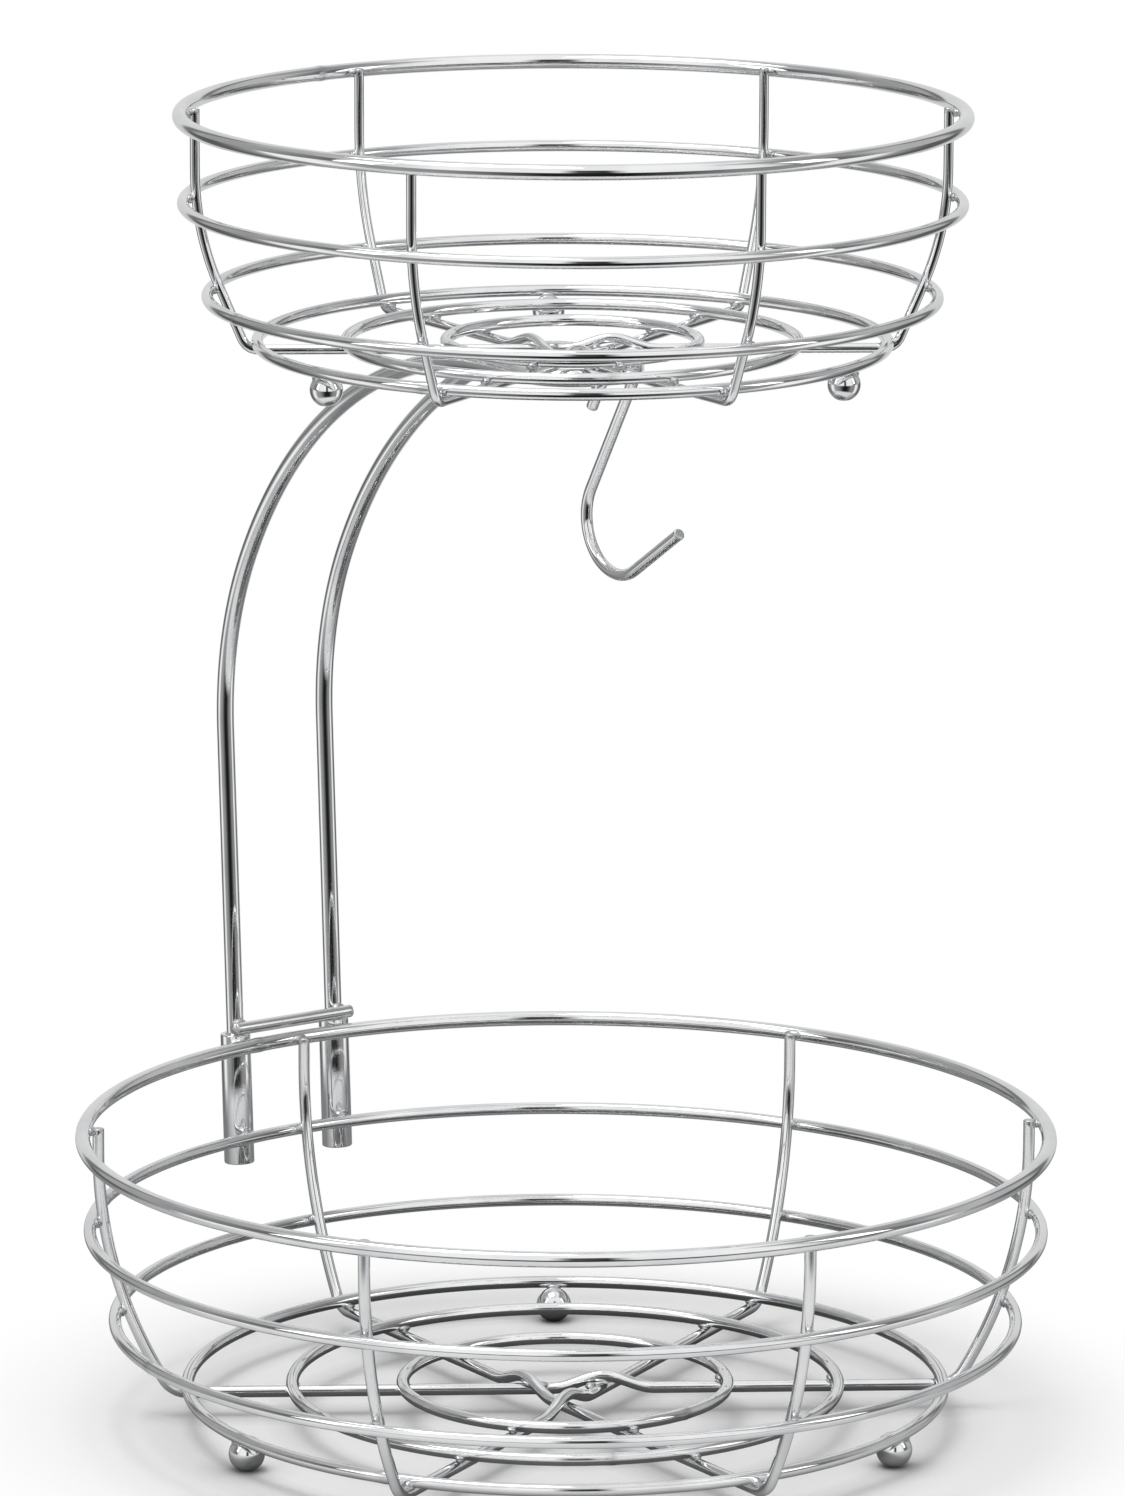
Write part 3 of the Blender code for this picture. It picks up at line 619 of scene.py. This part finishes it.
# The bar's size and place come from the frame. Both welds lie behind it, and the left one
# runs over the bar's end.
def buildStopBar(places):
    low, high = np.array(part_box("stop_bar"))
    middle, half, wire = (low + high) / 2, (high[0] - low[0]) / 2, (high[2] - low[2]) / 2
    path = middle + np.linspace(-half, half, stopBar["pathSteps"])[:, None] * xAxis
    sideways = np.tile(zAxis, (len(path), 1))
    # Painted shade: the front half of the bar is darkened and dulled through the wear tint
    darkDullSpot = (middle, middle + places["ahead"], stopBar["paintedFrontShadeReach"], stopBar["paintedFrontShade"])
    piece = wirePiece("stopBarWire", path, sideways, wire, stopBar["edge"],
                      stopBar["stationStep"], stopBar["around"], (darkDullSpot,))
    dress(piece, "stand", rodChrome, "stand", "stop_bar")
    behind = places["ahead"] * (wire + seatGap / 2)
    post = xAxis * stand["spacing"] / 2
    axes = beadAxes(places["ahead"], xAxis)
    nugget = middle - xAxis * (half - stopBar["nuggetIn"]) - behind * stopBar["nuggetBack"]
    return [(middle + post - behind, axes, stopBar["bead"]),
            (middle - post - behind, axes, stopBar["bead"]), (nugget, axes, stopBar["nugget"])]


# The hook

hook = {
    "wire": 3.6 * mm, "spacing": 12 * mm, "corner": 3.4 * mm, "lean": np.radians(30.7),
    "leg": 40.5 * mm, "stub": 7.6 * mm, "radius": 16 * mm, "turn": np.radians(153.7),
    "tip": 27 * mm, "edge": 0.5 * mm, "around": 24, "stationStep": 0.8 * mm,
    "cornerSteps": 16, "bendSteps": 90, "bead": (1.9 * mm, 2.1 * mm, 1.1 * mm),
    "rubbed": 0.45, "rubReach": 13 * mm,    # how dull the inside of the bend is, and how far along
}


# Staple in a leaning plane: up the short leg, a quarter bend, over, a quarter bend, down
# the long leg; then in the upright plane of that leg a bend of hook["turn"] and a straight tip.
def hookPath(places):
    half = hook["spacing"] / 2
    up = np.array([0, -np.sin(hook["lean"]), np.cos(hook["lean"])])
    front = np.array([0, -np.cos(hook["lean"]), -np.sin(hook["lean"])])
    rodHalf = stand["spacing"] / 2
    rodDepth = rodHalf - stand["armFront"] - np.sqrt(rodHalf**2 - half**2)
    seat = stand["rod"] / 2 + hook["wire"] / 2 + seatGap
    weld = np.array([0, rodDepth, stand["armHeight"]]) + front * seat
    top = stand["armHeight"] + stand["rod"] / 2 - hook["wire"] / 2
    rise = (top - weld[2]) / np.cos(hook["lean"])
    corner = min(hook["corner"], rise)
    turn = np.linspace(np.pi, np.pi / 2, hook["cornerSteps"])[:, None]
    spoke = xAxis * np.cos(turn) + up * np.sin(turn)
    cornerAt = weld + up * (rise - corner)
    leftCorner = cornerAt - xAxis * (half - corner) + spoke * corner
    rightSpoke = spoke[::-1] * (-1, 1, 1)
    rightCorner = cornerAt + xAxis * (half - corner) + rightSpoke * corner
    bendCentre = weld - up * hook["leg"] + xAxis * half + front * hook["radius"]
    angle = np.linspace(0, hook["turn"], hook["bendSteps"])[:, None]
    bendSpoke = -front * np.cos(angle) - up * np.sin(angle)
    bent = bendCentre + bendSpoke * hook["radius"]
    heading = front * np.sin(hook["turn"]) - up * np.cos(hook["turn"])
    stubEnd = weld - up * hook["stub"] - xAxis * half
    tip = bent[-1] + heading * hook["tip"]
    path = np.concatenate([[stubEnd], leftCorner, rightCorner, bent, [tip]])
    sideways = np.concatenate([[-xAxis], spoke, rightSpoke, np.tile(xAxis, (len(bent) + 1, 1))])
    origin = places["origin"]
    inside = bent[len(bent) // 2] + origin
    darkDullSpot = (inside, bendCentre + origin, hook["rubReach"], hook["rubbed"])
    return path + origin, sideways, weld + origin, front, darkDullSpot


def buildHook(places):
    path, sideways, weld, front, darkDullSpot = hookPath(places)
    wire = hook["wire"] / 2
    piece = wirePiece("bananaHookWire", path, sideways, wire, hook["edge"],
                      hook["stationStep"], hook["around"], (darkDullSpot,))
    dress(piece, "stand", rodChrome, "hook", "banana_hook")
    onRod = weld - front * (wire + seatGap / 2)
    leg = xAxis * hook["spacing"] / 2
    axes = beadAxes(front, xAxis)
    return [(onRod - leg, axes, hook["bead"]), (onRod + leg, axes, hook["bead"])]


def buildStand(places):
    buildRod(places)
    centres, axes, sizes = zip(*(buildStopBar(places) + buildHook(places)))
    piece = beadPiece("standWelds", centres, axes, sizes, beadLook)
    dress(piece, "stand", weldChrome, "stand")
    print("stand: rod, stop bar, hook and", len(centres), "welds")


places = standPlaces(ringOf("lower_rim"))
buildBowl(lowerBowl, buildSleeves(places))
buildStand(places)
buildBowl(upperBowl)


# Studio

studio = {
    "floorHalf": 14.0, "floorColour": (0.93, 0.93, 0.925, 1), "floorRough": 0.6, "floorGloss": 0.2,
    "paintedContactShade": (0.3, 0.3, 0.3, 1), "contactReach": 13 * mm, "contactSamples": 8,
    "contactOpen": (0.35, 0.95),            # painted contact shade by share of open room: darkest at 0.35, none at 0.95
    "whiteFrom": (0.12, 0.205),             # the floor turns plain white between these radii
    "roomLight": 0.66,
    "frontAngle": -125.66,                  # the side the photograph was taken from, in degrees
}

# Painted floor reflection: the floor as the metal sees it, not in its own colour. Its levels
# behind and in front of the bowl, at so many metres towards the front side, times a share of
# painted shade under the bowl. Over "reach" it gives way to the room.
paintedFloorReflection = {
    "back": 0.24, "front": 0.84, "towardsFront": (-0.12, 0.16),
    "under": 0.2, "underShadeReach": (0.105, 0.145), "reach": (0.34, 0.52),
}

# Painted room reflection, which lights nothing: levels round the room by angle from the front
# side, as the metal shows them, in a high band, one above the horizon and one below it. The front
# is dark with white windows on both sides of it, the sides are grey, and the back is pale.
roomHigh = ((-180, 0.9), (-150, 0.5), (-100, 0.45), (-60, 1.0), (56, 1.0), (72, 0.35), (140, 0.35),
            (166, 0.8), (180, 0.9))
roomUpper = ((-180, 0.75), (-152, 0.7), (-147, 0.2), (-142, 0.2), (-135, 0.4), (-104, 0.35),
             (-90, 0.25), (-66, 0.12), (-54, 0.8), (-40, 1.0), (-4, 1.0), (1, 0.1), (10, 0.04),
             (16, 0.95), (50, 1.0), (60, 0.8), (68, 0.1), (88, 0.2), (104, 0.5), (135, 0.5),
             (142, 0.2), (147, 0.2), (152, 0.7), (180, 0.75))
roomLow = ((-180, 0.72), (-151, 0.64), (-142, 0.12), (-124, 0.12), (-104, 0.36), (-97, 1.0),
           (-80, 1.0), (-71, 0.5), (-62, 0.36), (-40, 0.3), (-22, 0.14), (-9, 0.02), (17, 0.01),
           (32, 0.08), (48, 0.26), (76, 0.3), (82, 1.0), (97, 1.0), (107, 0.34), (124, 0.12),
           (142, 0.12), (151, 0.64), (180, 0.72))
# Each upper band comes in over the one below between these heights of the direction
roomBands = ((roomUpper, (-0.06, 0.03)), (roomHigh, (0.55, 0.66)))
ceiling = (0.84, 0.92)
plainWhite = (1, 1, 1, 1)

# Place, aim, size and power
softboxes = {
    "topSoftbox": ((-0.4, 0.2, 1.9), (0, 0, 0.1), (0.9, 0.9), 11),
    "leftSoftbox": ((-1.9, 0.3, 1.1), (0, 0, 0.2), (0.5, 1.2), 3),
    "rightSoftbox": ((1.2, -1.6, 1.1), (0, 0, 0.2), (0.5, 1.2), 3),
}


def math(tree, operation, first, second):
    node = addNode(tree, "ShaderNodeMath", operation=operation)
    link(tree, first, node.inputs[0])
    link(tree, second, node.inputs[1])
    return node.outputs[0]


# Eased from 0 to 1 between the two limits
def ease(tree, value, limits):
    return mapRange(tree, value, *limits, 0, 1, "SMOOTHSTEP")


def mixColour(tree, factor, first, second):
    node = addNode(tree, "ShaderNodeMix", data_type="RGBA")
    link(tree, factor, node.inputs["Factor"])
    for name, value in (("A", first), ("B", second)):
        if isinstance(value, tuple):
            node.inputs[name].default_value = value
        else:
            link(tree, value, node.inputs[name])
    return node.outputs["Result"]


def mixShader(tree, factor, first, second):
    node = addNode(tree, "ShaderNodeMixShader")
    for place, value in enumerate((factor, first, second)):
        link(tree, value, node.inputs[place])
    return node.outputs[0]


# Two masks: the rays that the metal sends out, and the camera's own
def rayKinds(tree):
    rays = addNode(tree, "ShaderNodeLightPath").outputs
    metal = math(tree, "MAXIMUM", rays["Is Glossy Ray"], rays["Is Transmission Ray"])
    return metal, rays["Is Camera Ray"]


# The floor is a plain matt plane round the object, with painted contact shade in its colour where
# something nearly touches it, and white further out. The camera sees that white, and the metal
# sees the room through it. Nearer in, the metal sees a painted reflection of the floor.
def buildFloor():
    half = studio["floorHalf"]
    corners = [(-half, -half, 0), (half, -half, 0), (half, half, 0), (-half, half, 0)]
    mesh = bpy.data.meshes.new("floor")
    mesh.from_pydata(corners, [], [(0, 1, 2, 3)])
    floor = bpy.data.objects.new("floor", mesh)
    bpy.context.scene.collection.objects.link(floor)
    material = bpy.data.materials.new("paleFloor")
    material.use_nodes = True
    tree = material.node_tree
    shader = tree.nodes["Principled BSDF"]
    shader.inputs["Roughness"].default_value = studio["floorRough"]
    shader.inputs["Specular IOR Level"].default_value = studio["floorGloss"]
    place = addNode(tree, "ShaderNodeTexCoord")
    length = addNode(tree, "ShaderNodeVectorMath", operation="LENGTH")
    link(tree, place.outputs["Object"], length.inputs[0])
    distance = length.outputs["Value"]
    seen, direct = rayKinds(tree)
    # Painted contact shade: ambient occlusion mixes the dark contact colour into the floor's
    # colour where something nearly touches it
    near = addNode(tree, "ShaderNodeAmbientOcclusion", samples=studio["contactSamples"])
    near.inputs["Distance"].default_value = studio["contactReach"]
    openness = mapRange(tree, near.outputs["AO"], *studio["contactOpen"], 0, 1)
    floorWithPaintedShade = mixColour(tree, openness, studio["paintedContactShade"], studio["floorColour"])
    # Painted reflection: the metal's rays see the floor at these levels instead of its own colour,
    # with painted shade under the bowl
    side = addNode(tree, "ShaderNodeVectorMath", operation="DOT_PRODUCT")
    frontAngle = np.radians(studio["frontAngle"])
    side.inputs[1].default_value = (np.cos(frontAngle), np.sin(frontAngle), 0)
    link(tree, place.outputs["Object"], side.inputs[0])
    level = mapRange(tree, side.outputs["Value"], *paintedFloorReflection["towardsFront"],
                     paintedFloorReflection["back"], paintedFloorReflection["front"])
    under = mapRange(tree, distance, *paintedFloorReflection["underShadeReach"], paintedFloorReflection["under"], 1,
                     "SMOOTHSTEP")
    colour = mixColour(tree, seen, floorWithPaintedShade, math(tree, "MULTIPLY", level, under))
    link(tree, colour, shader.inputs["Base Color"])
    white = addNode(tree, "ShaderNodeEmission")
    far = math(tree, "MULTIPLY", ease(tree, distance, studio["whiteFrom"]), direct)
    plain = mixShader(tree, far, shader.outputs[0], white.outputs[0])
    clear = addNode(tree, "ShaderNodeBsdfTransparent")
    beyond = math(tree, "MULTIPLY", ease(tree, distance, paintedFloorReflection["reach"]), seen)
    both = mixShader(tree, beyond, plain, clear.outputs[0])
    link(tree, both, tree.nodes["Material Output"].inputs["Surface"])
    mesh.materials.append(material)


def addSoftbox(name, place, aim, size, power):
    light = bpy.data.lights.new(name, "AREA")
    light.shape = "RECTANGLE"
    light.size, light.size_y = size
    light.energy = power
    lamp = bpy.data.objects.new(name, light)
    lamp.location = place
    lamp.rotation_euler = (Vector(aim) - Vector(place)).to_track_quat("-Z", "Y").to_euler()
    bpy.context.scene.collection.objects.link(lamp)


def roomRamp(tree, angle, levels):
    ramp = addNode(tree, "ShaderNodeValToRGB")
    while len(ramp.color_ramp.elements) < len(levels):
        ramp.color_ramp.elements.new(0.5)
    for element, (degrees, level) in zip(ramp.color_ramp.elements, levels):
        element.position = (degrees + 180) / 360
        element.color = (level, level, level, 1)
    link(tree, angle, ramp.inputs["Fac"])
    return ramp.outputs["Color"]


# The camera sees plain white. The metal sees a painted room reflection: levels by angle round the
# object (arctangent of the turned direction), one band over another, under a white ceiling.
# Everything else gets one plain soft level, so that room lights nothing.
def buildWorld():
    world = bpy.data.worlds.new("studioWorld")
    bpy.context.scene.world = world
    world.use_nodes = True
    tree = world.node_tree
    background = tree.nodes["Background"]
    direction = addNode(tree, "ShaderNodeTexCoord")
    turned = addNode(tree, "ShaderNodeVectorRotate", rotation_type="Z_AXIS")
    turned.inputs["Angle"].default_value = np.radians(-studio["frontAngle"])
    link(tree, direction.outputs["Generated"], turned.inputs["Vector"])
    split = addNode(tree, "ShaderNodeSeparateXYZ")
    link(tree, turned.outputs["Vector"], split.inputs["Vector"])
    aside = math(tree, "ARCTAN2", split.outputs["Y"], split.outputs["X"])
    angle = mapRange(tree, aside, -np.pi, np.pi, 0, 1)
    height = split.outputs["Z"]
    room = roomRamp(tree, angle, roomLow)
    for levels, limits in roomBands:
        room = mixColour(tree, ease(tree, height, limits), room, roomRamp(tree, angle, levels))
    room = mixColour(tree, ease(tree, height, ceiling), room, plainWhite)
    seen, direct = rayKinds(tree)
    level = studio["roomLight"]
    paintedRoomReflection = mixColour(tree, seen, (level, level, level, 1), room)
    link(tree, mixColour(tree, direct, paintedRoomReflection, plainWhite), background.inputs["Color"])
    background.inputs["Strength"].default_value = 1


# The photograph's view: a long lens, a little above the upper bowl, from the front left
camera = {
    "place": (-1.5904, -2.2194, 0.7928), "look": (0.57017, 0.79454, -0.208808),
    "up": (0.11915, 0.17150, 0.977952), "lens": 221.27, "sensor": 36, "farthest": 60,
}


def buildCamera():
    data = bpy.data.cameras.new("photoCamera")
    data.lens = camera["lens"]
    data.sensor_width = camera["sensor"]
    data.clip_end = camera["farthest"]
    eye = bpy.data.objects.new("photoCamera", data)
    look = Vector(camera["look"]).normalized()
    right = look.cross(Vector(camera["up"])).normalized()
    up = right.cross(look)
    turn = Matrix((right, up, -look)).transposed()
    eye.matrix_world = Matrix.Translation(camera["place"]) @ turn.to_4x4()
    bpy.context.scene.collection.objects.link(eye)
    bpy.context.scene.camera = eye


buildFloor()
for name, settings in softboxes.items():
    addSoftbox(name, *settings)
buildWorld()
buildCamera()
bpy.context.scene.view_settings.view_transform = "Standard"
print("studio ready")
